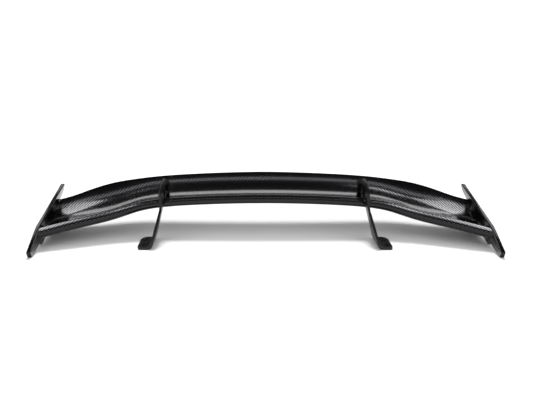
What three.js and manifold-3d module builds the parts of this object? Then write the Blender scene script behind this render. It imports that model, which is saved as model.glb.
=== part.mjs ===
// Swan-neck rear wing: a carbon-fibre blade with dropped, forward-swept ends, thick endplates,
// and two bent aluminium necks that carry it from above, with an angle adjuster in each neck head.
// Millimetres. X runs across the car, -Y is the leading edge, +Y the trailing edge, +Z is up.
import * as THREE from "three";
import { mergeVertices } from "three/addons/utils/BufferGeometryUtils.js";
import Module from "manifold-3d";

const wasm = await Module();
wasm.setup();

// ---- driving dimensions ---------------------------------------------------------------------------
// Blade stations: half-span X, nose Y, nose Z, trailing edge Y, trailing edge Z. Y counts back from
// the foremost point of the endplates, Z up from the floor the wing stands on.
const STATIONS = [
  [0, 212, 118.5, 430, 166],
  [120, 212, 117, 430, 163.8],
  [240, 212, 112.5, 430, 159],
  [300, 211.5, 109.2, 430, 155.8],
  [345, 210, 105.6, 430, 152.6],
  [391, 205, 101.2, 429, 149],
  [430, 195, 95.5, 426, 145.5],
  [470, 181, 86, 419, 142],
  [511, 165, 76.5, 408, 138.6],
  [550, 149, 70, 393, 134.6],
  [590, 132, 65.2, 376, 127.8],
  [630, 115, 60.6, 360, 117.8],
  [670, 98, 55.4, 345, 106],
  [700, 86, 50.8, 335, 98],
  [735, 72, 45, 322.5, 91.5],
];
// Section outline in chord lengths, from the nose (0, 0) to the trailing edge (1, 0).
const UPPER = [
  [0, 0], [0.0057, 0.024], [0.0121, 0.0364], [0.0234, 0.0444], [0.0432, 0.0507], [0.0716, 0.055],
  [0.0994, 0.0563], [0.124, 0.0533], [0.1426, 0.0441], [0.1656, 0.0231], [0.1966, -0.0029],
  [0.2368, -0.0291], [0.287, -0.0511], [0.3477, -0.0675], [0.4049, -0.0786], [0.467, -0.0884],
  [0.5294, -0.0965], [0.6, -0.1015], [0.669, -0.1005], [0.735, -0.093], [0.807, -0.0771],
  [0.926, -0.038], [1, 0.001],
];
const LOWER = [
  [0, 0], [0.002, -0.018], [0.022, -0.0465], [0.0946, -0.085], [0.219, -0.129], [0.346, -0.165],
  [0.475, -0.188], [0.607, -0.1936], [0.745, -0.1715], [0.864, -0.128], [0.942, -0.068],
  [0.996, -0.0125],
];
const CURVE_POINTS = 24;
const SKIN = 1.6; // laminate thickness
const BOND = 1.8; // glue line between the skins and what they cover
const GAP = 0.3; // clearance between neighbouring pieces
const BLADE_END = 735; // half-span of the skins

const END_RIB = { x0: 720, x1: 734.6 };
const ENDPLATE = { x0: 735.4, x1: 750, bevel: 2.5 };
const ENDPLATE_OUTLINE = [
  [4, 0], [0, 2], [-4.5, 14], [-5, 21], [44, 44], [84, 62.5], [104, 70.5], [240, 99],
  [386, 130.5], [393.5, 130], [394, 123], [380, 110], [358, 100], [336, 93.5], [318, 82],
  [303, 52], [286, 18], [274, 4], [262, 0], [212, 0], [196, 6], [165, 12.5], [133, 11.5],
  [117, 6.5], [105, 4.2], [97, 6.4], [91, 12], [85, 14.5], [76, 12.6], [40, 6],
];
const ENDPLATE_SCREWS = [0.13, 0.4, 0.68]; // chord fractions

const SPARS = [
  { name: "front_spar", web: 0.3, tip: 0.225 },
  { name: "rear_spar", web: 0.64, tip: 0.71 },
];
const SPAR_WALL = 2.4;
const SPAR_END = 716;
const RIBS = [["rib_center", 0], ["rib_L1", -180], ["rib_R1", 180], ["rib_L2", -560], ["rib_R2", 560]];
const RIB_THICKNESS = 6;

const NECK = { x0: 344, x1: 352 }; // upright plate of each neck
const KINK_Z = 106; // the plate leans outwards below this height
const LEAN_END = [368.2, 17.2]; // X, Z of the plate's middle where the foot bend starts
const FOOT = { z: 4, x0: 384, x1: 416, y0: 66, y1: 165, hole_x: 397, holes_y: [89, 127] };
const FOOT_HOLE = { r: 4.5, sink_r: 7, sink: 3 };
// Side view of the upright plate: the leg, the arch over the leading edge and the two prongs.
const NECK_OUTLINE = [
  [150, 106], [157, 113], [163, 124], [168, 138], [175, 155], [187, 168], [204, 177], [227, 182],
  [254, 183.5], [281, 180], [306, 172.5], [330, 161], [346, 152], [353, 146], [354, 123],
  [349, 116.5], [341, 115], [335.5, 119], [332, 130], [327, 141], [314, 150.5], [298, 157],
  [284, 158.5], [276, 154], [273.5, 146], [272.5, 128], [268.5, 121], [262, 118.5],
  [255.8, 121.5], [252.5, 129], [248, 146], [241, 154], [230, 156.5], [219, 151], [210, 139],
  [205.5, 124], [204.5, 106],
];
// Scalloped rear edge of the rear prong.
const BUMPS = [[350, 151.5], [352.5, 141], [352.5, 131], [349.5, 121.5]];
const BUMP_R = 6.5;
const PIVOT = [262, 137];
const CLAMP = [343, 146]; // clamp bolt at the steepest setting
const ADJUST_DEG = 8;
const BOLT_R = 4;
const HOLE_R = 4.35;

// Angle bracket outside each neck plate: a flange that follows the blade and two upright ears.
const RAIL = { x0: 352.3, x1: 378, from: 0.3, to: 0.7, thickness: 4, lift: 1 };
const EAR = { x0: 352.3, x1: 358.3, r: 10.5 };
const EAR_FEET = [[8, 20, 34], [-14, 0, 14]]; // Y offsets of each ear's foot from its bore
const RAIL_SCREWS = [[368, 290], [368, 322]];
const RAIL_SCREW = { r: 3, head_r: 5.6, length: 18, head_h: 2.9, seat: 3.1, sink: 3.4 };
const MOUNT_BLOCK = { x0: 347, x1: 381, from: 0.325, to: 0.61 };
const WASHER = 1.6;
const NUT = { r: 7.5, h: 6.5 };

// ---- materials --------------------------------------------------------------------------------------
const paint = (color, roughness, metalness) => () =>
  new THREE.MeshStandardMaterial({ color, roughness, metalness });
const CARBON = paint(0x15161a, 0.12, 0.1);
const INNER_CARBON = paint(0x26282b, 0.6, 0);
const BLACK_METAL = paint(0x1d1e20, 0.42, 0.7);
const ALUMINIUM = paint(0xa9acb0, 0.4, 1);
const STEEL = paint(0x2a2b2d, 0.35, 0.9);

// ---- solids -------------------------------------------------------------------------------------------
function toSolid(geometry) {
  const g = geometry.clone();
  g.deleteAttribute("normal");
  g.deleteAttribute("uv");
  const merged = mergeVertices(g, 1e-4);
  return new wasm.Manifold(new wasm.Mesh({
    numProp: 3,
    vertProperties: merged.attributes.position.array,
    triVerts: new Uint32Array(merged.index.array),
  }));
}
function toGeometry(solid) {
  const m = solid.getMesh();
  const position = new Float32Array(m.numVert * 3);
  for (let i = 0; i < m.numVert; i++)
    position.set(m.vertProperties.subarray(i * m.numProp, i * m.numProp + 3), i * 3);
  const g = new THREE.BufferGeometry();
  g.setAttribute("position", new THREE.BufferAttribute(position, 3));
  g.setIndex(new THREE.BufferAttribute(new Uint32Array(m.triVerts), 1));
  g.computeVertexNormals();
  return g;
}
const cut = (base, tools) => tools.reduce((s, t) => s.subtract(t), base);
const join = (parts) => parts.reduce((s, t) => s.add(t));

// A closed body through a row of polygons [[y, z], ...], each at its own x, all with as many points.
function loft(sections) {
  const n = sections[0].points.length;
  const outline = sections[0].points.map(([y, z]) => new THREE.Vector2(y, z));
  const turned = THREE.ShapeUtils.isClockWise(outline);
  if (turned) outline.reverse();
  const position = [];
  for (const { x, points } of sections)
    for (const [y, z] of turned ? points.slice().reverse() : points) position.push(x, y, z);
  const faces = THREE.ShapeUtils.triangulateShape(outline, []);
  const last = (sections.length - 1) * n;
  const index = [];
  for (const [a, b, c] of faces) index.push(a, c, b, last + a, last + b, last + c);
  for (let s = 0; s + 1 < sections.length; s++)
    for (let i = 0; i < n; i++) {
      const j = (i + 1) % n, a = s * n + i, b = s * n + j;
      index.push(a, b, b + n, a, b + n, a + n);
    }
  return orient(position, index);
}
// Turns the faces outwards whichever way the outline runs.
function orient(position, index) {
  const v = (i) => new THREE.Vector3().fromArray(position, 3 * i);
  let volume = 0;
  for (let i = 0; i < index.length; i += 3)
    volume += v(index[i]).dot(v(index[i + 1]).cross(v(index[i + 2])));
  if (volume < 0)
    for (let i = 0; i < index.length; i += 3)
      [index[i + 1], index[i + 2]] = [index[i + 2], index[i + 1]];
  const g = new THREE.BufferGeometry();
  g.setAttribute("position", new THREE.Float32BufferAttribute(position, 3));
  g.setIndex(index);
  return g;
}
// A flat plate: an outline in Y and Z, from x0 to x1.
function plate(outline, x0, x1, bevel = 0) {
  const shape = new THREE.Shape(outline.map(([y, z]) => new THREE.Vector2(y, z)));
  const g = new THREE.ExtrudeGeometry(shape, {
    depth: x1 - x0 - 2 * bevel, curveSegments: 12, bevelEnabled: bevel > 0, bevelThickness: bevel,
    bevelSize: bevel, bevelOffset: -bevel, bevelSegments: 1,
  });
  g.translate(0, 0, x0 + bevel);
  g.applyMatrix4(new THREE.Matrix4().set(0, 0, 1, 0, 1, 0, 0, 0, 0, 1, 0, 0, 0, 0, 0, 1));
  return toSolid(g);
}
// A round bar along X from x0 to x1.
function barX(y, z, r, x0, x1, segments = 20, r2 = r) {
  const g = new THREE.CylinderGeometry(r2, r, x1 - x0, segments);
  g.rotateZ(-Math.PI / 2);
  g.translate((x0 + x1) / 2, y, z);
  return toSolid(g);
}
// A round bar along Z from z0 to z1.
function barZ(x, y, r, z0, z1, segments = 20, r2 = r) {
  const g = new THREE.CylinderGeometry(r2, r, z1 - z0, segments);
  g.rotateX(Math.PI / 2);
  g.translate(x, y, (z0 + z1) / 2);
  return toSolid(g);
}
const mirrored = (solid) => solid.mirror([1, 0, 0]);

// ---- blade section ---------------------------------------------------------------------------------------
const splineOf = (points) =>
  new THREE.CatmullRomCurve3(points.map(([a, b]) => new THREE.Vector3(a, b, 0)), false, "centripetal");
const upperCurve = splineOf(UPPER), lowerCurve = splineOf(LOWER);
// Spacing along a curve: close at the nose, wider towards the trailing edge.
const spaced = (i, count) => Math.pow(i / (count - 1), 1.45);

function stationAt(x) {
  const a = Math.min(Math.abs(x), STATIONS.at(-1)[0]);
  let i = 1;
  while (i < STATIONS.length - 1 && STATIONS[i][0] < a) i++;
  const s0 = STATIONS[i - 1], s1 = STATIONS[i];
  const t = (a - s0[0]) / (s1[0] - s0[0]);
  return s0.map((v, k) => v + (s1[k] - v) * t);
}
// Chord fractions to Y and Z at half-span x.
function place(x, [u, v]) {
  const [, ny, nz, ty, tz] = stationAt(x);
  const cy = ty - ny, cz = tz - nz;
  return [ny + u * cy - v * cz, nz + u * cz + v * cy];
}
function along(curve, u) {
  let lo = 0, hi = 1;
  for (let i = 0; i < 30; i++) {
    const mid = (lo + hi) / 2;
    if (curve.getPoint(mid).x < u) lo = mid; else hi = mid;
  }
  return curve.getPoint(lo).y;
}
const upperAt = (x, u) => place(x, [u, along(upperCurve, u)]);
const lowerAt = (x, u) => place(x, [u, along(lowerCurve, u)]);
// Points of one skin's section: the outer curve out, the inner curve back.
function skinSection(x, curve, other, side) {
  const outer = [], inner = [];
  for (let i = 0; i < CURVE_POINTS; i++) {
    const t = spaced(i, CURVE_POINTS);
    const p = curve.getPoint(t);
    // The skins meet on the chord line, so the first point's wall runs straight back.
    const q = i === 0 ? new THREE.Vector3(0, side, 0) : curve.getTangent(t);
    const [y, z] = place(x, [p.x, p.y]);
    const [y2, z2] = place(x, [p.x + q.x, p.y + q.y]);
    const length = Math.hypot(y2 - y, z2 - z);
    const inward = [(z2 - z) * side / length, -(y2 - y) * side / length];
    const [oy, oz] = place(x, [p.x, along(other, p.x)]);
    const room = Math.hypot(oy - y, oz - z);
    const depth = t > 0.5 ? Math.min(SKIN, 0.4 * room - 0.15) : SKIN;
    const shift = i === 0 ? 0.12 * side : 0;
    outer.push([y, z + shift]);
    inner.push([y + inward[0] * depth, z + shift + inward[1] * depth]);
  }
  return outer.concat(inner.reverse());
}
const spanStations = (end) => {
  const half = STATIONS.map((s) => s[0]).filter((x) => x < end).concat([end]);
  return half.slice(1).reverse().map((x) => -x).concat(half);
};

// ---- the scene graph ------------------------------------------------------------------------------------
const wing = new THREE.Group();
const blade = new THREE.Group(); // turns about the pivot line
const stand = new THREE.Group(); // the two necks, fixed to the car
blade.name = "blade";
stand.name = "stand";
wing.add(blade, stand);
function piece(parent, name, shape, material) {
  const geometry = shape.isBufferGeometry ? shape : toGeometry(shape);
  const mesh = new THREE.Mesh(geometry, material());
  mesh.name = name;
  parent.add(mesh);
  return mesh;
}
const SIDES = [["L", -1], ["R", 1]];
const sided = (solid, sign) => (sign < 0 ? mirrored(solid) : solid);

// Skins: upper skin drilled for the rail screws.
const railHoles = [];
for (const [, sign] of SIDES)
  for (const [x, y] of RAIL_SCREWS)
    railHoles.push(barZ(sign * x, y, RAIL_SCREW.r + GAP, 80, 140, 16));
const skin = (curve, other, side) =>
  loft(spanStations(BLADE_END).map((x) => ({ x, points: skinSection(x, curve, other, side) })));
piece(blade, "upper_skin", cut(toSolid(skin(upperCurve, lowerCurve, 1)), railHoles), CARBON);
piece(blade, "lower_skin", skin(lowerCurve, upperCurve, -1), CARBON);

// Inner height at a chord fraction, between the two glue lines.
function between(x, u, drop = 0) {
  const top = upperAt(x, u), bottom = lowerAt(x, u);
  const k = (SKIN + BOND + drop) / Math.hypot(top[0] - bottom[0], top[1] - bottom[1]);
  const lerp = (a, b) => [a[0] + (b[0] - a[0]) * k, a[1] + (b[1] - a[1]) * k];
  return [lerp(top, bottom), lerp(bottom, top)];
}
for (const { name, web, tip } of SPARS) {
  const sections = spanStations(SPAR_END).map((x) => {
    const chord = stationAt(x)[3] - stationAt(x)[1];
    const inside = web + (Math.sign(tip - web) * SPAR_WALL) / chord;
    const [wt, wb] = between(x, web), [tt, tb] = between(x, tip);
    const [tt2, tb2] = between(x, tip, SPAR_WALL), [it, ib] = between(x, inside, SPAR_WALL);
    return { x, points: [wt, tt, tt2, it, ib, tb2, tb, wb] };
  });
  piece(blade, name, loft(sections), INNER_CARBON);
}
// Bodies that fill the space between the spars, or the whole section, from u0 to u1.
function filler(xs, u0, u1, count) {
  return loft(xs.map((x) => {
    const top = [], bottom = [];
    for (let i = 0; i <= count; i++) {
      const [t, b] = between(x, u0 + ((u1 - u0) * i) / count);
      top.push(t);
      bottom.push(b);
    }
    return { x, points: top.concat(bottom.reverse()) };
  }));
}
for (const [name, x] of RIBS)
  piece(blade, name, filler([x - RIB_THICKNESS / 2, x + RIB_THICKNESS / 2], 0.32, 0.62, 5), INNER_CARBON);

const screwSpot = (u) => {
  const t = upperAt(BLADE_END, u), b = lowerAt(BLADE_END, u);
  return [(t[0] + b[0]) / 2, (t[1] + b[1]) / 2];
};
const socket = (r, depth) => new THREE.CylinderGeometry(r, r, depth, 6);
// A fastener drawn head up along +Y, head seat at y = 0: shank below, head above.
function screw({ r, length, headR, headH, hex, countersunk }) {
  const shank = new THREE.CylinderGeometry(r, r, length + 0.5, 12).translate(0, 0.25 - length / 2, 0);
  const head = countersunk
    ? new THREE.CylinderGeometry(headR, r, headH, 12).translate(0, headH / 2, 0)
    : new THREE.CylinderGeometry(headR - 0.6, headR, headH, 16).translate(0, headH / 2, 0);
  const key = socket(hex, headH).translate(0, headH, 0);
  return join([toSolid(shank), toSolid(head)]).subtract(toSolid(key));
}
for (const [side, sign] of SIDES) {
  // Closing rib with threaded holes for the endplate screws.
  const spots = ENDPLATE_SCREWS.map(screwSpot);
  const holes = spots.map(([y, z]) => barX(y, z, 3 + GAP, 700, 760, 12));
  const rib = cut(toSolid(filler([END_RIB.x0, END_RIB.x1], 0.035, 0.9, 12)), holes);
  piece(blade, "end_rib_" + side, sided(rib, sign), INNER_CARBON);
  // Endplate: thick moulding with chamfered edges, countersunk for three screws.
  const sinks = spots.map(([y, z]) => barX(y, z, 3 + GAP, ENDPLATE.x1 - 4.2, ENDPLATE.x1 + 0.6, 12, 7.2));
  const outline = plate(ENDPLATE_OUTLINE, ENDPLATE.x0, ENDPLATE.x1, ENDPLATE.bevel);
  piece(blade, "endplate_" + side, sided(cut(outline, holes.concat(sinks)), sign), CARBON);
  spots.forEach(([y, z], i) => {
    const bolt = screw({ r: 3, length: 22, headR: 6, headH: 3.4, hex: 2, countersunk: true });
    const mesh = piece(blade, "endplate_screw_" + side + (i + 1), bolt, STEEL);
    mesh.position.set(sign * (ENDPLATE.x1 - 4), y, z);
    mesh.rotation.z = (-sign * Math.PI) / 2;
  });
  // Hard point bonded between the spars under each rail, tapped for the rail screws.
  const tapped = RAIL_SCREWS.map(([x, y]) => barZ(x, y, RAIL_SCREW.r + GAP, 70, 140, 12));
  const block = filler([MOUNT_BLOCK.x0, MOUNT_BLOCK.x1], MOUNT_BLOCK.from, MOUNT_BLOCK.to, 6);
  piece(blade, "mount_block_" + side, sided(cut(toSolid(block), tapped), sign), ALUMINIUM);
}

// ---- rails on the blade ---------------------------------------------------------------------------------
function railSection(x) {
  const low = [], high = [];
  const steps = 8;
  for (let i = 0; i <= steps; i++) {
    const u = RAIL.from + ((RAIL.to - RAIL.from) * i) / steps;
    const [y, z] = upperAt(x, u);
    low.push([y, z + RAIL.lift]);
    high.push([y, z + RAIL.lift + RAIL.thickness]);
  }
  return { x, points: low.concat(high.reverse()) };
}
const surfaceZ = (x, y) => {
  let best = null;
  for (let u = 0.1; u < 0.9; u += 0.002) {
    const p = upperAt(x, u);
    if (!best || Math.abs(p[0] - y) < Math.abs(best[0] - y)) best = p;
  }
  return best[1];
};
for (const [side, sign] of SIDES) {
  const flange = toSolid(loft([RAIL.x0, RAIL.x1].map(railSection)));
  const ears = [PIVOT, CLAMP].map(([y, z], i) => {
    const foot = EAR_FEET[i].map((d) => [y + d, surfaceZ(EAR.x1, y + d) + RAIL.thickness]);
    return join([
      plate([...foot, [y + EAR.r - 0.4, z], [y - EAR.r + 0.4, z]], EAR.x0, EAR.x1),
      barX(y, z, EAR.r, EAR.x0, EAR.x1, 20),
    ]);
  });
  const bores = [PIVOT, CLAMP].map(([y, z]) => barX(y, z, HOLE_R, EAR.x0 - 1, EAR.x1 + 1, 20));
  const seats = RAIL_SCREWS.flatMap(([x, y]) => {
    const top = surfaceZ(x, y) + RAIL.lift + RAIL.thickness;
    return [
      barZ(x, y, RAIL_SCREW.r + GAP, 80, 140, 12),
      barZ(x, y, RAIL_SCREW.r + GAP, top - RAIL_SCREW.sink, top + 0.8, 12, RAIL_SCREW.head_r + 1.4),
    ];
  });
  piece(blade, "blade_rail_" + side, sided(cut(join([flange, ...ears]), bores.concat(seats)), sign),
    BLACK_METAL);
  RAIL_SCREWS.forEach(([x, y], i) => {
    const top = surfaceZ(x, y) + RAIL.lift + RAIL.thickness;
    const bolt = screw({
      r: RAIL_SCREW.r, length: RAIL_SCREW.length, headR: RAIL_SCREW.head_r, headH: RAIL_SCREW.head_h,
      hex: 2, countersunk: true,
    });
    const mesh = piece(blade, "rail_screw_" + side + (i + 1), bolt, STEEL);
    mesh.position.set(sign * x, y, top - RAIL_SCREW.seat);
    mesh.rotation.x = Math.PI / 2;
  });
}

// ---- necks -------------------------------------------------------------------------------------------------
// Middle line of the bent part from the kink down to the foot's outer edge, as [x, z, y front, y rear].
function neckPath() {
  const mid = (NECK.x0 + NECK.x1) / 2;
  const path = [[mid, KINK_Z + 0.01, 150, 204.5]];
  const front = (z) => 66 + (84 * Math.max(0, z - 26)) / 80;
  const rear = (z) => 165 + 39.5 * Math.pow(Math.max(0, z - 26) / 80, 1.3);
  for (let i = 1; i <= 5; i++) {
    const t = i / 5;
    const x = mid + (LEAN_END[0] - mid) * t, z = KINK_Z + (LEAN_END[1] - KINK_Z) * t;
    path.push([x, z, front(z), rear(z)]);
  }
  const bend = new THREE.QuadraticBezierCurve(
    new THREE.Vector2(...LEAN_END), new THREE.Vector2(371.6, FOOT.z), new THREE.Vector2(FOOT.x0, FOOT.z));
  for (let i = 1; i <= 5; i++) {
    const p = bend.getPoint(i / 5);
    path.push([p.x, p.y, FOOT.y0, FOOT.y1]);
  }
  const corner = 9, round = 26; // corner radii of the foot, front and rear
  for (const t of [0, 0.35, 0.65, 0.85, 1]) {
    const x = FOOT.x1 - round + round * t;
    const dx = (r) => Math.max(0, x - (FOOT.x1 - r));
    const inset = (r) => r - Math.sqrt(Math.max(0, r * r - dx(r) * dx(r)));
    path.push([x, FOOT.z, FOOT.y0 + inset(corner), FOOT.y1 - inset(round)]);
  }
  return path;
}
function bentPlate(path, thickness) {
  const position = [], index = [];
  path.forEach(([x, z, y0, y1], i) => {
    const a = path[Math.max(0, i - 1)], b = path[Math.min(path.length - 1, i + 1)];
    const one = new THREE.Vector2(x - a[0], z - a[1]), two = new THREE.Vector2(b[0] - x, b[1] - z);
    const d = one.normalize().add(two.normalize()).normalize();
    const half = thickness / 2 / Math.max(0.5, Math.abs(d.dot(two.lengthSq() ? two : d)));
    const nx = -d.y * half, nz = d.x * half;
    const [px, pz, qx, qz] = i === 0
      ? [x + thickness / 2, z, x - thickness / 2, z] : [x + nx, z + nz, x - nx, z - nz];
    position.push(px, y0, pz, px, y1, pz, qx, y1, qz, qx, y0, qz);
  });
  for (let s = 0; s + 1 < path.length; s++)
    for (let i = 0; i < 4; i++) {
      const j = (i + 1) % 4, a = 4 * s + i, b = 4 * s + j;
      index.push(a, b, b + 4, a, b + 4, a + 4);
    }
  const e = 4 * (path.length - 1);
  index.push(0, 2, 1, 0, 3, 2, e, e + 1, e + 2, e, e + 2, e + 3);
  return toSolid(orient(position, index));
}
// Slot for the clamp bolt: an arc about the pivot, from the steepest setting down to the flattest.
function arcSlot(r) {
  const dy = CLAMP[0] - PIVOT[0], dz = CLAMP[1] - PIVOT[1];
  const radius = Math.hypot(dy, dz), start = Math.atan2(dz, dy);
  const steps = 6, turn = THREE.MathUtils.degToRad(ADJUST_DEG);
  const at = (a, k) => [PIVOT[0] + (radius + k) * Math.cos(a), PIVOT[1] + (radius + k) * Math.sin(a)];
  const outer = [], inner = [], ends = [];
  for (let i = 0; i <= steps; i++) {
    const a = start - (turn * i) / steps;
    outer.push(at(a, r));
    inner.push(at(a, -r));
    if (i % steps === 0) ends.push(barX(...at(a, 0), r, 330, 366, 20));
  }
  return [plate(outer.concat(inner.reverse()), 330, 366), ...ends];
}
for (const [side, sign] of SIDES) {
  const upright = join([
    plate(NECK_OUTLINE, NECK.x0, NECK.x1),
    ...BUMPS.map(([y, z]) => barX(y, z, BUMP_R, NECK.x0, NECK.x1, 16)),
    bentPlate(neckPath(), NECK.x1 - NECK.x0),
  ]);
  const footHoles = FOOT.holes_y.flatMap((y) => [
    barZ(FOOT.hole_x, y, FOOT_HOLE.r, -5, 20, 20),
    barZ(FOOT.hole_x, y, FOOT_HOLE.r, 8 - FOOT_HOLE.sink, 8.6, 20, FOOT_HOLE.sink_r + 0.5),
  ]);
  const tools = [barX(...PIVOT, HOLE_R, 330, 366, 20), ...arcSlot(HOLE_R), ...footHoles];
  piece(stand, "neck_" + side, sided(cut(upright, tools), sign), BLACK_METAL);
}

// Pivot and clamp bolts: head, washer, neck plate, ear, washer, nut, from the inside outwards.
const ring = (outer, inner, height, segments, holeSegments = 16) =>
  toSolid(new THREE.CylinderGeometry(outer, outer, height, segments)).subtract(
    toSolid(new THREE.CylinderGeometry(inner, inner, height + 2, holeSegments)));
for (const [side, sign] of SIDES)
  for (const [kind, [y, z], parent] of [["pivot", PIVOT, stand], ["clamp", CLAMP, blade]]) {
    const bolt = screw({ r: BOLT_R, length: 27, headR: 6.6, headH: 3.4, hex: 2.6, countersunk: false });
    const parts = [
      ["bolt", bolt, NECK.x0 - 2 * GAP - WASHER],
      ["washer_in", ring(8, BOLT_R + GAP, WASHER, 20), NECK.x0 - GAP - WASHER / 2],
      ["washer_out", ring(8, BOLT_R + GAP, WASHER, 20), EAR.x1 + GAP + WASHER / 2],
      ["nut", ring(NUT.r, BOLT_R + GAP, NUT.h, 6), EAR.x1 + 2 * GAP + WASHER + NUT.h / 2],
    ];
    for (const [what, shape, x] of parts) {
      const mesh = piece(parent, kind + "_" + what + "_" + side, shape, STEEL);
      mesh.position.set(sign * x, y, z);
      mesh.rotation.z = (sign * Math.PI) / 2;
    }
  }

// Origin: on the centre plane, under the middle of the wing, on the floor it stands on.
wing.updateMatrixWorld(true);
const box = new THREE.Box3().setFromObject(wing);
wing.position.set(0, -(box.min.y + box.max.y) / 2, -box.min.z);

export default wing;
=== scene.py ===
"""Rear wing with swan necks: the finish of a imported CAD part, in metres, +Z up."""

import math

import bpy
import numpy as np
from bpy.props import FloatProperty, FloatVectorProperty, IntProperty
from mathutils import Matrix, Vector


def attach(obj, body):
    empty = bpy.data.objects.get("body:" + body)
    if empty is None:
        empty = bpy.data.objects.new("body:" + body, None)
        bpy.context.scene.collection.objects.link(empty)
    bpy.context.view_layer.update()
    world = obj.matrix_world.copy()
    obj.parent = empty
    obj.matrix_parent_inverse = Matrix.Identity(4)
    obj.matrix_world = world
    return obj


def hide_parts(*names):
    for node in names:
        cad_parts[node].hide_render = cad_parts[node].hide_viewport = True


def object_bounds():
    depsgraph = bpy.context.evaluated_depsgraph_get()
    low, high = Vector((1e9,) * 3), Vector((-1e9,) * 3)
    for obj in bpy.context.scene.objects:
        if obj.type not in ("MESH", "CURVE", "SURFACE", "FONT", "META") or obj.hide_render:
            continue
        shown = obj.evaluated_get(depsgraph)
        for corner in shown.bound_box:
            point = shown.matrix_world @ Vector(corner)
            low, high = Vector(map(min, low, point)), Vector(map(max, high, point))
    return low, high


bl_info = {
    "name": "Swan-neck rear wing",
    "version": (1, 0, 0),
    "blender": (4, 5, 0),
    "location": "3D View > Sidebar > Wing",
    "description": "Carbon blade, endplates and bent necks of a rear wing, with its studio",
    "category": "Add Mesh",
}

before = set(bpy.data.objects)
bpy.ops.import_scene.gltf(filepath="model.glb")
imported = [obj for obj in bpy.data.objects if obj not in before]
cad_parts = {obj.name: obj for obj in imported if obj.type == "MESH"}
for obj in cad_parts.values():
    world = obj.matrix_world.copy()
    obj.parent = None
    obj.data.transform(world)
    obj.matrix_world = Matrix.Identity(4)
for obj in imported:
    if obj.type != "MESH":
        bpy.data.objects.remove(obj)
CAD_BOX = [list(corner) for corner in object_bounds()]

MM = 0.001
FRONT_TIP = -5  # the drawing's Y of the endplates' foremost point
FORWARD = FRONT_TIP - CAD_BOX[0][1] / MM  # the drawing's Y of the wing's middle
REAR_MOST = CAD_BOX[1][1] / MM + FORWARD  # the drawing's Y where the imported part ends

# ---- the blade's drawing, in millimetres ---------------------------------------------------------
# Half-span X, nose Y and Z, trailing edge Y and Z. Z counts up from the floor.
STATIONS = np.array([
    [0, 212, 118.5, 430, 166], [120, 212, 117, 430, 163.8], [240, 212, 112.5, 430, 159],
    [300, 211.5, 109.2, 430, 155.8], [345, 210, 105.6, 430, 152.6], [391, 205, 101.2, 429, 149],
    [430, 195, 95.5, 426, 145.5], [470, 181, 86, 419, 142], [511, 165, 76.5, 408, 138.6],
    [550, 149, 70, 393, 134.6], [590, 132, 65.2, 376, 127.8], [630, 115, 60.6, 360, 117.8],
    [670, 98, 55.4, 345, 106], [700, 86, 50.8, 335, 98], [735, 72, 45, 322.5, 91.5],
])
# The upper section from the nose to the trough behind its crest: Y and Z on the centre plane.
CREST_AND_TROUGH = [
    (212, 118.5), (212.1, 124), (212.9, 127), (215, 129.3), (219, 131.6), (225, 133.9), (231, 135.5),
    (236.5, 136), (241, 134.9), (247, 131.4), (255, 127.2), (265, 123.4), (277, 121), (291, 120.3),
    (304, 120.6), (318, 121.4), (332, 122.6),
]
# The rest of the upper section and the whole lower one, in chord lengths from the nose.
RISE_TO_TAIL = [
    (0.6, -0.1015), (0.669, -0.1005), (0.735, -0.093), (0.807, -0.0771), (0.926, -0.038), (1, 0.001),
]
LOWER = [
    (0, 0), (0.002, -0.018), (0.022, -0.0465), (0.0946, -0.085), (0.219, -0.129), (0.346, -0.165),
    (0.475, -0.188), (0.607, -0.1936), (0.745, -0.1715), (0.864, -0.128), (0.942, -0.068),
    (0.996, -0.0125),
]
SKIN_END = 735  # half-span of the skins
SKIN_WALL = 1.6
NOSE_SEAM = 0.02  # half the hairline between the two skins at the nose
NOSE_CROWD = 1.45  # how much closer together a section's points lie at the nose
THINNING = 0.55  # share of a section's points after which its wall may thin
WALL_SHARE = 0.49  # of the room between the skins, so that their walls never meet
AHEAD = 0.001  # step along a section that gives its direction
FACING_POINTS = 200
CLOTH_FACE = 0.9  # how squarely a face of an endplate looks outwards to carry cloth


def in_chords(points):
    """Points drawn on the centre plane, in lengths of its chord to four places."""
    nose, chord = STATIONS[0, 1:3], STATIONS[0, 3:5] - STATIONS[0, 1:3]
    made = []
    for y, z in np.array(points) - nose:
        made.append((round((chord[0] * y + chord[1] * z) / (chord @ chord), 4),
                     round((chord[0] * z - chord[1] * y) / (chord @ chord), 4)))
    return made


UPPER = in_chords(CREST_AND_TROUGH) + RISE_TO_TAIL


def spline(points, count, crowd=1.0):
    """Points along a centripetal curve through points, closer together at the start when crowd > 1."""
    p = np.array(points, float)
    p = np.vstack([2 * p[0] - p[1], p, 2 * p[-1] - p[-2]])
    step = np.sqrt(np.linalg.norm(np.diff(p, axis=0), axis=1))
    made, slopes = [], []
    last = len(points) - 1
    for i in range(count):
        t = (i / (count - 1)) ** crowd * last
        k = min(int(t), last - 1)
        s = t - k
        a, b, c, d = p[k : k + 4]
        ab, bc, cd = step[k : k + 3]
        m0 = ((b - a) / ab - (c - a) / (ab + bc) + (c - b) / bc) * bc
        m1 = ((c - b) / bc - (d - b) / (bc + cd) + (d - c) / cd) * bc
        made.append(
            (2 * s**3 - 3 * s**2 + 1) * b + (s**3 - 2 * s**2 + s) * m0
            + (3 * s**2 - 2 * s**3) * c + (s**3 - s**2) * m1
        )
        slopes.append(
            (6 * s**2 - 6 * s) * b + (3 * s**2 - 4 * s + 1) * m0
            + (6 * s - 6 * s**2) * c + (3 * s**2 - 2 * s) * m1
        )
    return np.array(made), np.array(slopes)


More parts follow.
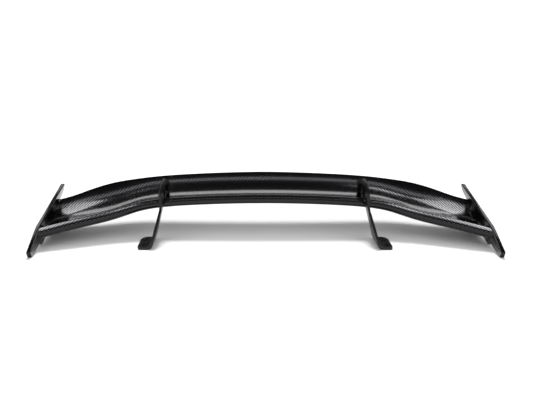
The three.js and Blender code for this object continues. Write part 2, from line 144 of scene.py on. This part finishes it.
def station(x):
    """Nose Y, nose Z, trailing edge Y and Z at half-span x, on smooth curves through the stations."""
    xs, rows = STATIONS[:, 0], STATIONS[:, 1:]
    a = min(abs(x), xs[-1])
    k = int(np.clip(np.searchsorted(xs, a, "right") - 1, 0, len(xs) - 2))
    h = np.diff(xs)
    slope = np.diff(rows, axis=0) / h[:, None]

    def tangent(i):
        if i == 0:
            return np.zeros(4)  # the two halves mirror each other
        if i == len(xs) - 1:
            return slope[-1]
        return (slope[i - 1] * h[i] + slope[i] * h[i - 1]) / (h[i - 1] + h[i])

    s, w = (a - xs[k]) / h[k], h[k]
    return (
        (2 * s**3 - 3 * s**2 + 1) * rows[k] + (s**3 - 2 * s**2 + s) * w * tangent(k)
        + (3 * s**2 - 2 * s**3) * rows[k + 1] + (s**3 - s**2) * w * tangent(k + 1)
    )


def on_chord(x, points):
    """Chord fractions to the drawing's Y and Z at half-span x."""
    ny, nz, ty, tz = station(x)
    u, v = points[:, 0], points[:, 1]
    return np.stack([ny + u * (ty - ny) - v * (tz - nz), nz + u * (tz - nz) + v * (ty - ny)], 1)


# ---- modelling helpers -----------------------------------------------------------------------------
def deselect():
    if bpy.context.mode != "OBJECT":
        bpy.ops.object.mode_set(mode="OBJECT")
    bpy.ops.object.select_all(action="DESELECT")


def activate(piece):
    deselect()
    piece.select_set(True)
    bpy.context.view_layer.objects.active = piece


def apply_modifier(piece, kind, name, **settings):
    modifier = piece.modifiers.new(name, kind)
    for key, value in settings.items():
        setattr(modifier, key, value)
    activate(piece)
    bpy.ops.object.modifier_apply(modifier=modifier.name)


def finish_piece(piece, name, body, nodes, material, smooth_deg=30):
    """Names a finished piece, gives it its finish and hangs it on its CAD body."""
    piece.name = name
    piece.data.name = name
    piece.data.materials.clear()
    piece.data.materials.append(material)
    activate(piece)
    bpy.ops.object.shade_smooth_by_angle(angle=math.radians(smooth_deg))
    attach(piece, body)
    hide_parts(*nodes)
    return piece


def box_map(piece):
    """A UV map in metres, each face laid flat along the axis it faces most."""
    layer = piece.data.uv_layers.get("weave") or piece.data.uv_layers.new(name="weave")
    for face in piece.data.polygons:
        n = [abs(c) for c in face.normal]
        axis = n.index(max(n))
        pick = {0: (1, 2), 1: (0, 2), 2: (0, 1)}[axis]
        for loop in face.loop_indices:
            co = piece.data.vertices[piece.data.loops[loop].vertex_index].co
            layer.data[loop].uv = (co[pick[0]], co[pick[1]])


def copy_of(node):
    """A free copy of a CAD node with its loose triangles merged into one clean shell."""
    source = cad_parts[node]
    piece = bpy.data.objects.new(node + "_copy", source.data.copy())
    bpy.context.scene.collection.objects.link(piece)
    activate(piece)
    bpy.ops.object.mode_set(mode="EDIT")
    bpy.ops.mesh.select_all(action="SELECT")
    bpy.ops.mesh.remove_doubles(threshold=0.00001)
    bpy.ops.mesh.dissolve_limited(angle_limit=math.radians(0.6))
    bpy.ops.object.mode_set(mode="OBJECT")
    return piece


# ---- finishes ----------------------------------------------------------------------------------------
def linear(hex_colour):
    """sRGB hex to linear RGBA."""
    rgb = [int(hex_colour[i : i + 2], 16) / 255 for i in (1, 3, 5)]
    return (*[c / 12.92 if c <= 0.04045 else ((c + 0.055) / 1.055) ** 2.4 for c in rgb], 1)


def node(tree, kind, **values):
    """Adds a shader node. Values name its properties or, with in_, its input sockets, which take a
    value, a socket to link from, or a node whose first output is linked."""
    made = tree.nodes.new("ShaderNode" + kind)
    for key, value in values.items():
        if not key.startswith("in_"):
            setattr(made, key, value)
            continue
        key = key[3:]
        socket = made.inputs[int(key)] if key.isdigit() else made.inputs[key.replace("_", " ")]
        if isinstance(value, bpy.types.Node):
            value = value.outputs[0]
        if isinstance(value, bpy.types.NodeSocket):
            tree.links.new(value, socket)
        else:
            socket.default_value = value
    return made


def new_material(name):
    material = bpy.data.materials.new(name)
    material.use_nodes = True
    tree = material.node_tree
    tree.nodes.clear()
    shader = node(tree, "BsdfPrincipled")
    node(tree, "OutputMaterial", in_0=shader)
    return material, tree, shader


TOW_FLOAT = 2.0  # a tow passes over this many others, then under as many
CROWN_SHARE = 0.8  # of the relief rounds a tow across its width; the rest arches it along its float
FILAMENTS = (14.0, 0.6)  # filament streaks to a tow's width, across the tow and along it
NOSE_FADE = 1.35  # the cloth is back in full at this many times the plain nose's width


def twill_material(name, look, lacquered=True, nose_resin_and_shade=0.0):
    """2x2 twill carbon cloth in epoxy: warp and weft tows crown over each other in diagonal steps.

    A real tow is about 2 mm wide. Both kinds are drawn about twice as wide, so that the twill still
    shows on a blade 1.5 m long."""
    material, tree, shader = new_material(name)
    if lacquered:
        split = node(tree, "SeparateXYZ", in_0=node(tree, "UVMap", uv_map="weave"))
        side_way, up_way = split.outputs[0], split.outputs[1]
    else:  # flat spars and ribs inside the blade: spars run along X, ribs along Y
        split = node(tree, "SeparateXYZ", in_0=node(tree, "TexCoord").outputs["Object"])
        side_way = node(tree, "Math", operation="ADD", in_0=split.outputs[0], in_1=split.outputs[1])
        up_way = split.outputs[2]
    across = node(tree, "Math", operation="DIVIDE", in_0=side_way, in_1=look.tow_width)
    along = node(tree, "Math", operation="DIVIDE", in_0=up_way, in_1=look.weft_width)
    column, row = [node(tree, "Math", operation="FLOOR", in_0=way) for way in (across, along)]
    over_column, over_row = [node(tree, "Math", operation="FRACT", in_0=way) for way in (across, along)]
    cell = node(tree, "Math", operation="ADD", in_0=column, in_1=row)
    step = node(tree, "Math", operation="FLOORED_MODULO", in_0=cell, in_1=2 * TOW_FLOAT)
    # 1 where the warp tow lies on top, and 1 where the weft tow does.
    warp = node(tree, "Math", operation="LESS_THAN", in_0=step, in_1=TOW_FLOAT - 0.5)
    weft = node(tree, "Math", operation="SUBTRACT", in_0=1.0, in_1=warp)

    def on_top(for_warp, for_weft):
        """The first value where the warp lies on top, the second where the weft does."""
        parts = [node(tree, "Math", operation="MULTIPLY", in_0=tow, in_1=value)
                 for tow, value in ((warp, for_warp), (weft, for_weft))]
        return node(tree, "Math", operation="ADD", in_0=parts[0], in_1=parts[1])

    # Position across the tow on top, and along its float, each 0 to 1.
    cross = on_top(over_column, over_row)
    warp_run = node(tree, "Math", operation="ADD", in_0=step, in_1=over_row)
    weft_step = node(tree, "Math", operation="SUBTRACT", in_0=step, in_1=TOW_FLOAT)
    weft_run = node(tree, "Math", operation="ADD", in_0=weft_step, in_1=over_column)
    run = node(tree, "Math", operation="MULTIPLY", in_0=on_top(warp_run, weft_run), in_1=1 / TOW_FLOAT)
    crown, arch = [
        node(tree, "Math", operation="SINE",
             in_0=node(tree, "Math", operation="MULTIPLY", in_0=way, in_1=math.pi))
        for way in (cross, run)
    ]
    rounding, arching = [
        node(tree, "Math", operation="MULTIPLY", in_0=form, in_1=share)
        for form, share in ((crown, CROWN_SHARE), (arch, 1 - CROWN_SHARE))
    ]
    height = node(tree, "Math", operation="ADD", in_0=rounding, in_1=arching)
    # Single filaments: noise stretched along whichever tow is on top.
    fibre = on_top(*[
        node(tree, "TexNoise", noise_dimensions="3D", in_Scale=1.0, in_Detail=2.0, in_0=node(
            tree, "CombineXYZ",
            in_0=node(tree, "Math", operation="MULTIPLY", in_0=across, in_1=side_streaks),
            in_1=node(tree, "Math", operation="MULTIPLY", in_0=along, in_1=up_streaks)))
        for side_streaks, up_streaks in (FILAMENTS, FILAMENTS[::-1])
    ])
    tow_tone = node(tree, "TexWhiteNoise", noise_dimensions="2D", in_0=node(
        tree, "CombineXYZ",
        in_0=node(tree, "Math", operation="MULTIPLY", in_0=column, in_1=warp),
        in_1=node(tree, "Math", operation="MULTIPLY", in_0=row, in_1=weft)))
    # The share of fibre against resin sets the colour. The weft is painted darker than the warp, down to
    # plain resin: painted shade for the sheen that only the warp tows catch. Each tow is darker towards its
    # edges, and the tone differs a little from tow to tow and from filament to filament.
    share = 1.0
    for value, low, high, at_low, at_high in (
        (warp, 0.0, 1.0, look.weft_shade_tone, 1.0),
        (crown, 0.0, 0.6, 0.35, 1.0),
        (tow_tone, 0.0, 1.0, 0.85, 1.1),
        (fibre, 0.3, 0.7, 0.8, 1.15),
    ):
        tone = node(tree, "MapRange", in_0=value, in_1=low, in_2=high, in_3=at_low, in_4=at_high)
        share = node(tree, "Math", operation="MULTIPLY", in_0=share, in_1=tone)
    share.use_clamp = True
    if nose_resin_and_shade:  # the two skins meet in a filled, resin-rich nose, where no cloth shows; the plain dark resin there is also painted shade for the shadowed floor that the nose mirrors
        from_nose = node(tree, "Math", operation="ABSOLUTE", in_0=split.outputs[1])
        clear = node(tree, "MapRange", in_0=from_nose, in_1=nose_resin_and_shade, in_2=nose_resin_and_shade * NOSE_FADE)
        share = node(tree, "Math", operation="MULTIPLY", in_0=share, in_1=clear)
    colour = node(tree, "Mix", data_type="RGBA", in_0=share, in_6=look.resin_colour,
                  in_7=look.tow_colour)
    tree.links.new(colour.outputs[2], shader.inputs["Base Color"])
    gloss = node(tree, "MapRange", in_0=fibre, in_1=0.3, in_2=0.7, in_3=look.tow_roughness,
                 in_4=look.tow_roughness + 0.12)
    tree.links.new(gloss.outputs[0], shader.inputs["Roughness"])
    fine = node(tree, "Math", operation="MULTIPLY", in_0=fibre, in_1=0.05)
    relief = node(tree, "Math", operation="ADD", in_0=height, in_1=fine)
    bump = node(tree, "Bump", in_Strength=1.0, in_Distance=look.tow_relief, in_Height=relief)
    tree.links.new(bump.outputs[0], shader.inputs["Normal"])
    shader.inputs["Metallic"].default_value = 1.0
    if lacquered:  # polished clear lacquer over the cloth
        shader.inputs["Coat Weight"].default_value = 0.6
        shader.inputs["Coat Roughness"].default_value = 0.02
        shader.inputs["Coat IOR"].default_value = 1.5
    return material


def resin_material(name, look):
    """Black-pigmented epoxy on the trimmed rim of a moulded plate, sanded and polished."""
    material, tree, shader = new_material(name)
    place = node(tree, "TexCoord").outputs["Object"]
    cloud = node(tree, "TexNoise", in_Vector=place, in_Scale=70.0, in_Detail=4.0)
    share = node(tree, "MapRange", in_0=cloud, in_1=0.35, in_2=0.65)
    colour = node(tree, "Mix", data_type="RGBA", in_0=share, in_6=look.resin_colour,
                  in_7=linear("#0e0e10"))
    tree.links.new(colour.outputs[2], shader.inputs["Base Color"])
    gloss = node(tree, "MapRange", in_0=cloud, in_1=0.35, in_2=0.65, in_3=0.1, in_4=0.2)
    tree.links.new(gloss.outputs[0], shader.inputs["Roughness"])
    bump = node(tree, "Bump", in_Strength=0.2, in_Distance=0.00003, in_Height=cloud)
    tree.links.new(bump.outputs[0], shader.inputs["Normal"])
    shader.inputs["Specular IOR Level"].default_value = 0.25
    return material


def aluminium_material(name):
    """Bare milled aluminium: fine machining marks and slight clouding."""
    material, tree, shader = new_material(name)
    place = node(tree, "TexCoord").outputs["Object"]
    marks = node(tree, "TexNoise", in_Vector=place, in_Scale=3200.0, in_Detail=2.0)
    cloud = node(tree, "TexNoise", in_Vector=place, in_Scale=120.0, in_Detail=3.0)
    share = node(tree, "MapRange", in_0=cloud, in_1=0.3, in_2=0.7)
    colour = node(tree, "Mix", data_type="RGBA", in_0=share, in_6=linear("#a3a6aa"),
                  in_7=linear("#b9bcc0"))
    tree.links.new(colour.outputs[2], shader.inputs["Base Color"])
    gloss = node(tree, "MapRange", in_0=cloud, in_1=0.3, in_2=0.7, in_3=0.37, in_4=0.5)
    tree.links.new(gloss.outputs[0], shader.inputs["Roughness"])
    bump = node(tree, "Bump", in_Strength=0.3, in_Distance=0.00003, in_Height=marks)
    tree.links.new(bump.outputs[0], shader.inputs["Normal"])
    shader.inputs["Metallic"].default_value = 1.0
    return material


def finish_named(name):
    """The finish of that name, made the first time it is asked for.

    A finish can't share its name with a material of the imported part, which would be handed back."""
    found = bpy.data.materials.get(name)
    if found:
        return found
    look = bpy.context.scene.wing_look
    if name == "gloss_twill":
        return twill_material(name, look)
    if name == "skin_twill":
        return twill_material(name, look, nose_resin_and_shade=look.nose_resin_and_shade)
    if name == "rim_resin":
        return resin_material(name, look)
    if name == "bare_twill":
        return twill_material(name, look, lacquered=False)
    if name == "mill_aluminium":
        return aluminium_material(name)
    raise ValueError("no finish is named " + name)


def packed_finish(node_name):
    """The plain one-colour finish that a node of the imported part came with."""
    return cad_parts[node_name].data.materials[0]


# ---- settings ------------------------------------------------------------------------------------------
class WingLook(bpy.types.PropertyGroup):
    tow_width: FloatProperty(name="Tow width", description="Width of one warp tow",
                             default=0.0034, unit="LENGTH", precision=4)
    weft_width: FloatProperty(name="Weft width", description="Width of one weft tow, spread flatter",
                              default=0.0046, unit="LENGTH", precision=4)
    tow_relief: FloatProperty(name="Tow relief", description="Height of the crown of a tow",
                              default=0.00006, unit="LENGTH", precision=5)
    tow_roughness: FloatProperty(name="Tow roughness", description="Gloss of the bare fibres",
                                 default=0.1, min=0, max=1, subtype="FACTOR")
    # Resin and painted shade: the cloth fades to plain dark resin each side of the nose, which darkens the
    # nose where it mirrors the shadowed floor.
    nose_resin_and_shade: FloatProperty(name="Plain nose", description="Width of plain resin each side of the nose",
                              default=0.0085, unit="LENGTH", precision=4)
    # Painted shade on the weft: its tone against the warp's, where 0 paints it as dark as plain resin.
    weft_shade_tone: FloatProperty(name="Weft tone", description="Weft against warp; 0 is plain resin",
                              default=0.0, min=0, max=1, subtype="FACTOR")
    tow_colour: FloatVectorProperty(name="Tow", description="Colour of a carbon tow",
                                    default=linear("#68686c"), size=4, subtype="COLOR")
    resin_colour: FloatVectorProperty(name="Resin", description="Colour of the resin between tows",
                                      default=linear("#040405"), size=4, subtype="COLOR")


class WingSizes(bpy.types.PropertyGroup):
    span_steps: IntProperty(name="Span steps", description="Rows of faces along the blade", default=150)
    section_steps: IntProperty(name="Section steps", description="Faces round one skin's outside",
                               default=44)
    endplate_round: FloatProperty(name="Endplate edge", description="Rounding of the endplate's rim",
                                  default=0.00098, unit="LENGTH", precision=5)
    neck_round: FloatProperty(name="Neck edge", description="Rounding of the neck plate's edges",
                              default=0.0013, unit="LENGTH", precision=4)
    small_round: FloatProperty(name="Small edge", description="Rounding of the rails",
                               default=0.0003, unit="LENGTH", precision=4)


class WingStudio(bpy.types.PropertyGroup):
    key_strength: FloatProperty(name="Key", description="Strength of the key light", default=2.7)
    key_elevation: FloatProperty(name="Key height", description="Height of the key behind the wing",
                                 default=math.radians(58), subtype="ANGLE")
    key_spread: FloatProperty(name="Key spread", description="Softness of the key's shadow",
                              default=math.radians(16), subtype="ANGLE")
    fill_strength: FloatProperty(name="Fill", description="Light from all round", default=0.85)
    strip_strength: FloatProperty(name="Strip", description="Overhead strip", default=1.05)
    strip_width: FloatProperty(name="Strip width", description="Width of the strip", default=0.36,
                               unit="LENGTH")
    strip_lean: FloatProperty(name="Strip lean", description="How far it leans behind the zenith",
                              default=math.radians(12), subtype="ANGLE")
    dim_strength: FloatProperty(name="Dim room", description="What polished surfaces mirror of the room",
                                default=0.05)
    card_strength: FloatProperty(name="Card", description="Low card behind the wing", default=1.6)
    wall_strength: FloatProperty(name="Wall", description="White wall in front", default=0.95)
    wall_height: FloatProperty(name="Wall height", description="Angle up from the floor",
                               default=math.radians(57), subtype="ANGLE")
    box_strength: FloatProperty(name="Softboxes", description="The two softboxes", default=3.4)
    box_out: FloatProperty(name="Softbox side", description="Angle out to the side",
                           default=math.radians(33), subtype="ANGLE")
    box_up: FloatProperty(name="Softbox height", description="Angle up from the front",
                          default=math.radians(127), subtype="ANGLE")
    floor_colour: FloatVectorProperty(name="Floor", description="Colour of the studio floor",
                                      default=linear("#f4f4f4"), size=4, subtype="COLOR")


# ---- pieces ----------------------------------------------------------------------------------------------
def skin_shell(curve, other, side, sizes):
    """One skin as a closed shell: the outside of the section, its inner wall, and both ends shut."""
    steps = sizes.section_steps
    outer, slopes = spline(curve, steps + 1, NOSE_CROWD)
    far = spline(other, FACING_POINTS)[0]
    xs = np.linspace(-SKIN_END, SKIN_END, sizes.span_steps + 1)
    rows, lengths = [], []
    for x in xs:
        out = on_chord(x, outer)
        out[:, 0] = np.minimum(out[:, 0], REAR_MOST)
        ahead = on_chord(x, outer + slopes * AHEAD)
        run = ahead - out
        run[0] = [1, 0]  # the nose opens straight back
        run /= np.linalg.norm(run, axis=1)[:, None]
        facing = on_chord(x, np.stack([outer[:, 0], np.interp(outer[:, 0], far[:, 0], far[:, 1])], 1))
        room = np.linalg.norm(facing - out, axis=1)
        depth = np.full(len(out), SKIN_WALL)
        thin = np.arange(len(out)) > steps * THINNING
        depth[thin] = np.minimum(SKIN_WALL, WALL_SHARE * room[thin])
        inside = out + np.stack([run[:, 1], -run[:, 0]], 1) * depth[:, None] * side
        out[0, 1] += NOSE_SEAM * side
        inside[0] = [out[0, 0] + SKIN_WALL, out[0, 1]]
        inside[:, 0] = np.minimum(inside[:, 0], out[-1, 0])
        # Round the outside, back along every second inner point, and shut at the nose.
        loop = np.vstack([out, inside[::-1][::2], out[:1]])
        rows.append(loop)
        lengths.append(np.concatenate([[0], np.cumsum(np.linalg.norm(np.diff(loop, axis=0), axis=1))]))
    loops = np.array(rows)
    count = loops.shape[1]
    deselect()
    bpy.ops.mesh.primitive_grid_add(x_subdivisions=count - 1, y_subdivisions=len(xs) - 1, size=1)
    piece = bpy.context.object
    co = np.empty((len(xs), count, 3))
    co[:, :, 0] = xs[:, None]
    co[:, :, 1:] = loops
    co[:, :, 1] -= FORWARD
    piece.data.vertices.foreach_set("co", (co * MM).ravel())
    # The cloth runs in metres: along the span from the centre, and round the section from the nose.
    while piece.data.uv_layers:
        piece.data.uv_layers.remove(piece.data.uv_layers[0])
    layer = piece.data.uv_layers.new(name="weave")
    index = np.empty(len(piece.data.loops), int)
    piece.data.loops.foreach_get("vertex_index", index)
    lengths = np.array(lengths)
    uv = np.stack([np.abs(xs)[index // count], lengths[index // count, index % count] * side], 1) * MM
    layer.data.foreach_set("uv", uv.ravel())
    activate(piece)
    bpy.ops.object.mode_set(mode="EDIT")
    bpy.ops.mesh.select_all(action="SELECT")
    bpy.ops.mesh.remove_doubles(threshold=0.000002)
    bpy.ops.mesh.select_all(action="DESELECT")
    bpy.ops.mesh.select_non_manifold()
    bpy.ops.mesh.edge_face_add()
    bpy.ops.mesh.select_all(action="SELECT")
    bpy.ops.mesh.normals_make_consistent(inside=False)
    bpy.ops.object.mode_set(mode="OBJECT")
    return piece


class WING_OT_skins(bpy.types.Operator):
    """Upper and lower skin of the blade, lofted through the stations"""

    bl_idname = "wing.skins"
    bl_label = "Blade skins"

    def execute(self, context):
        sizes = context.scene.wing_sizes
        for name, node_name, curve, other, side in (
            ("blade_upper_skin", "upper_skin", UPPER, LOWER, 1),
            ("blade_lower_skin", "lower_skin", LOWER, UPPER, -1),
        ):
            piece = skin_shell(curve, other, side, sizes)
            finish_piece(piece, name, "blade", [node_name],
                         finish_named("skin_twill"), 40)
        return {"FINISHED"}


class WING_OT_endplates(bpy.types.Operator):
    """Endplates with a rounded rim and cloth laid flat on their faces"""

    bl_idname = "wing.endplates"
    bl_label = "Endplates"

    def execute(self, context):
        sizes = context.scene.wing_sizes
        for side, word in (("L", "left"), ("R", "right")):
            piece = copy_of("endplate_" + side)
            apply_modifier(piece, "BEVEL", "rim", width=sizes.endplate_round, segments=2,
                           limit_method="ANGLE", angle_limit=math.radians(25), harden_normals=False)
            box_map(piece)
            finish_piece(piece, "endplate_" + word, "blade", ["endplate_" + side],
                         finish_named("gloss_twill"), 35)
            # The cloth lies on the two broad faces; the rim between them is plain resin.
            piece.data.materials.append(finish_named("rim_resin"))
            broadest = max(piece.data.polygons, key=lambda face: face.area).normal.copy()
            for face in piece.data.polygons:
                face.material_index = int(abs(face.normal.dot(broadest)) < CLOTH_FACE)
        return {"FINISHED"}


class WING_OT_necks(bpy.types.Operator):
    """Bent neck plates with eased edges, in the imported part's plain black"""

    bl_idname = "wing.necks"
    bl_label = "Necks"

    def execute(self, context):
        sizes = context.scene.wing_sizes
        for side, word in (("L", "left"), ("R", "right")):
            piece = copy_of("neck_" + side)
            apply_modifier(piece, "BEVEL", "edge", width=sizes.neck_round, segments=2,
                           limit_method="ANGLE", angle_limit=math.radians(40), harden_normals=False)
            finish_piece(piece, "neck_" + word, "necks", ["neck_" + side],
                         packed_finish("neck_" + side), 35)
        return {"FINISHED"}


class WING_OT_rails(bpy.types.Operator):
    """Rails that carry the ears of the pivot and clamp bolts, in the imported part's plain black"""

    bl_idname = "wing.rails"
    bl_label = "Blade rails"

    def execute(self, context):
        sizes = context.scene.wing_sizes
        for side, word in (("L", "left"), ("R", "right")):
            piece = copy_of("blade_rail_" + side)
            apply_modifier(piece, "BEVEL", "edge", width=sizes.small_round, segments=2,
                           limit_method="ANGLE", angle_limit=math.radians(40), harden_normals=False)
            finish_piece(piece, "blade_rail_" + word, "blade", ["blade_rail_" + side],
                         packed_finish("blade_rail_" + side), 35)
        return {"FINISHED"}


class WING_OT_structure(bpy.types.Operator):
    """Spars, ribs and hard points inside the blade"""

    bl_idname = "wing.structure"
    bl_label = "Inner structure"

    def execute(self, context):
        for name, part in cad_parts.items():
            if name.startswith("mount_block"):
                finish = finish_named("mill_aluminium")
            elif "spar" in name or "rib" in name:
                finish = finish_named("bare_twill")
            else:
                continue
            part.data.materials.clear()
            part.data.materials.append(finish)
        return {"FINISHED"}


# ---- studio ------------------------------------------------------------------------------------------------
LENS = 37.96
CAMERA_AT = (-0.059, -1.8915, 0.7245)
CAMERA_PITCH = 18.27
CAMERA_SHIFT = 0.0509
STRIP_OVER = Vector((0, 0.15, 0.12))  # a point near the trailing edge
STRIP_REACH = 2.6
STRIP_LENGTH = 6.0
ROOM_REACH = 6.0  # from the wing to the card behind it and to the wall in front
ROOM_WIDTH = 14.0
CARD_LOW, CARD_HIGH = math.radians(23), math.radians(30.5)  # seen from the floor under the wing
PANEL_X, PANEL_Z = 0.5, 0.1  # a point on an outer panel
BOX_REACH = 3.0
BOX_WIDTH, BOX_LENGTH = 1.3, 2.0


def area_light(name, at, turn, width, length, strength):
    """A rectangular light as bright as strength at any size, which only gloss and mirrors see."""
    bpy.ops.object.light_add(type="AREA", location=at, rotation=turn)
    light = bpy.context.object
    light.name = name
    light.data.shape = "RECTANGLE"
    light.data.size, light.data.size_y = width, length
    light.data.energy = strength * math.pi * light.data.size * light.data.size_y
    light.visible_diffuse = False
    light.visible_camera = False


class WING_OT_studio(bpy.types.Operator):
    """White studio floor, key from behind and above, the lights that the gloss mirrors, and the camera"""

    bl_idname = "wing.studio"
    bl_label = "Studio"

    def execute(self, context):
        studio = context.scene.wing_studio
        deselect()
        bpy.ops.object.camera_add(location=CAMERA_AT, rotation=(math.radians(90 - CAMERA_PITCH), 0, 0))
        camera = context.object
        camera.data.lens = LENS
        camera.data.sensor_width = 36
        camera.data.shift_x = CAMERA_SHIFT
        camera.data.clip_end = 200
        context.scene.camera = camera

        bpy.ops.mesh.primitive_plane_add(size=60)
        floor = context.object
        floor.name = "studio_floor"
        paper, tree, shader = new_material("studio_paper")
        place = node(tree, "TexCoord").outputs["Object"]
        fibre = node(tree, "TexNoise", in_Vector=place, in_Scale=900.0, in_Detail=2.0)
        share = node(tree, "MapRange", in_0=fibre, in_1=0.3, in_2=0.7, in_3=0.0, in_4=0.03)
        colour = node(tree, "Mix", data_type="RGBA", in_0=share, in_6=tuple(studio.floor_colour),
                      in_7=linear("#e8e8e8"))
        tree.links.new(colour.outputs[2], shader.inputs["Base Color"])
        shader.inputs["Roughness"].default_value = 0.9
        shader.inputs["Specular IOR Level"].default_value = 0.1
        floor.data.materials.append(paper)

        bpy.ops.object.light_add(type="SUN", rotation=(studio.key_elevation - math.pi / 2, 0, 0))
        key = context.object
        key.name = "key_light"
        key.data.energy = studio.key_strength
        key.data.angle = studio.key_spread
        key.visible_glossy = False

        # A long overhead strip, a little behind the zenith, brings out the weave near the trailing edge.
        lean = studio.strip_lean
        at = STRIP_OVER + Vector((0, math.sin(lean), math.cos(lean))) * STRIP_REACH
        area_light("overhead_strip", at, (-lean, 0, 0), STRIP_LENGTH, studio.strip_width,
                   studio.strip_strength)

        # A broad card behind the wing, low over the floor, that only the lacquer sees.
        bottom, top = math.tan(CARD_LOW) * ROOM_REACH, math.tan(CARD_HIGH) * ROOM_REACH
        area_light("rear_card", (0, ROOM_REACH, (bottom + top) / 2), (math.radians(-90), 0, 0),
                   ROOM_WIDTH, top - bottom, studio.card_strength)

        # The white wall in front of the wing, from the floor up, seen in the nose and the necks.
        wall_top = math.tan(studio.wall_height) * ROOM_REACH
        area_light("front_wall", (0, -ROOM_REACH, wall_top / 2), (math.radians(90), 0, 0),
                   ROOM_WIDTH, wall_top, studio.wall_strength)

        # A tall softbox behind and above each end, seen in the outer panels.
        out, up = studio.box_out, studio.box_up
        for word, sign in (("left", -1), ("right", 1)):
            aim = Vector((sign * math.sin(out), -math.cos(out) * math.cos(up), math.cos(out) * math.sin(up)))
            at = Vector((sign * PANEL_X, 0, PANEL_Z)) + aim * BOX_REACH
            turn = (-aim).to_track_quat("-Z", "Y").to_euler()
            area_light("softbox_" + word, at, turn, BOX_WIDTH, BOX_LENGTH, studio.box_strength)

        world = bpy.data.worlds.new("studio_world")
        context.scene.world = world
        world.use_nodes = True
        tree = world.node_tree
        background = tree.nodes["Background"]
        background.inputs["Color"].default_value = (1, 1, 1, 1)
        rays = node(tree, "LightPath").outputs
        soft = node(tree, "MapRange", in_0=rays["Is Glossy Ray"], in_3=studio.fill_strength,
                    in_4=studio.dim_strength)
        seen = node(tree, "MapRange", in_0=rays["Is Camera Ray"], in_3=soft, in_4=1.0)
        tree.links.new(seen.outputs[0], background.inputs["Strength"])

        context.scene.view_settings.view_transform = "Standard"
        context.scene.view_settings.look = "None"
        return {"FINISHED"}


class WING_PT_panel(bpy.types.Panel):
    bl_idname = "WING_PT_panel"
    bl_label = "Rear wing"
    bl_space_type = "VIEW_3D"
    bl_region_type = "UI"
    bl_category = "Wing"

    def draw(self, context):
        for group in ("wing_sizes", "wing_look", "wing_studio"):
            settings = getattr(context.scene, group)
            box = self.layout.box()
            for name in settings.__annotations__:
                box.prop(settings, name)
        for operator in OPERATORS:
            self.layout.operator(operator.bl_idname)


# The fasteners keep the plain black finish that they came with, so no operator makes them.
OPERATORS = (WING_OT_studio, WING_OT_skins, WING_OT_endplates, WING_OT_necks, WING_OT_rails,
             WING_OT_structure)
CLASSES = (WingLook, WingSizes, WingStudio, *OPERATORS, WING_PT_panel)


def register():
    for made in CLASSES:
        bpy.utils.register_class(made)
    bpy.types.Scene.wing_look = bpy.props.PointerProperty(type=WingLook)
    bpy.types.Scene.wing_sizes = bpy.props.PointerProperty(type=WingSizes)
    bpy.types.Scene.wing_studio = bpy.props.PointerProperty(type=WingStudio)


def unregister():
    del bpy.types.Scene.wing_look
    del bpy.types.Scene.wing_sizes
    del bpy.types.Scene.wing_studio
    for made in reversed(CLASSES):
        bpy.utils.unregister_class(made)


def main():
    register()
    bpy.ops.wing.studio()
    bpy.ops.wing.skins()
    bpy.ops.wing.endplates()
    bpy.ops.wing.necks()
    bpy.ops.wing.rails()
    bpy.ops.wing.structure()


if __name__ == "__main__":
    main()
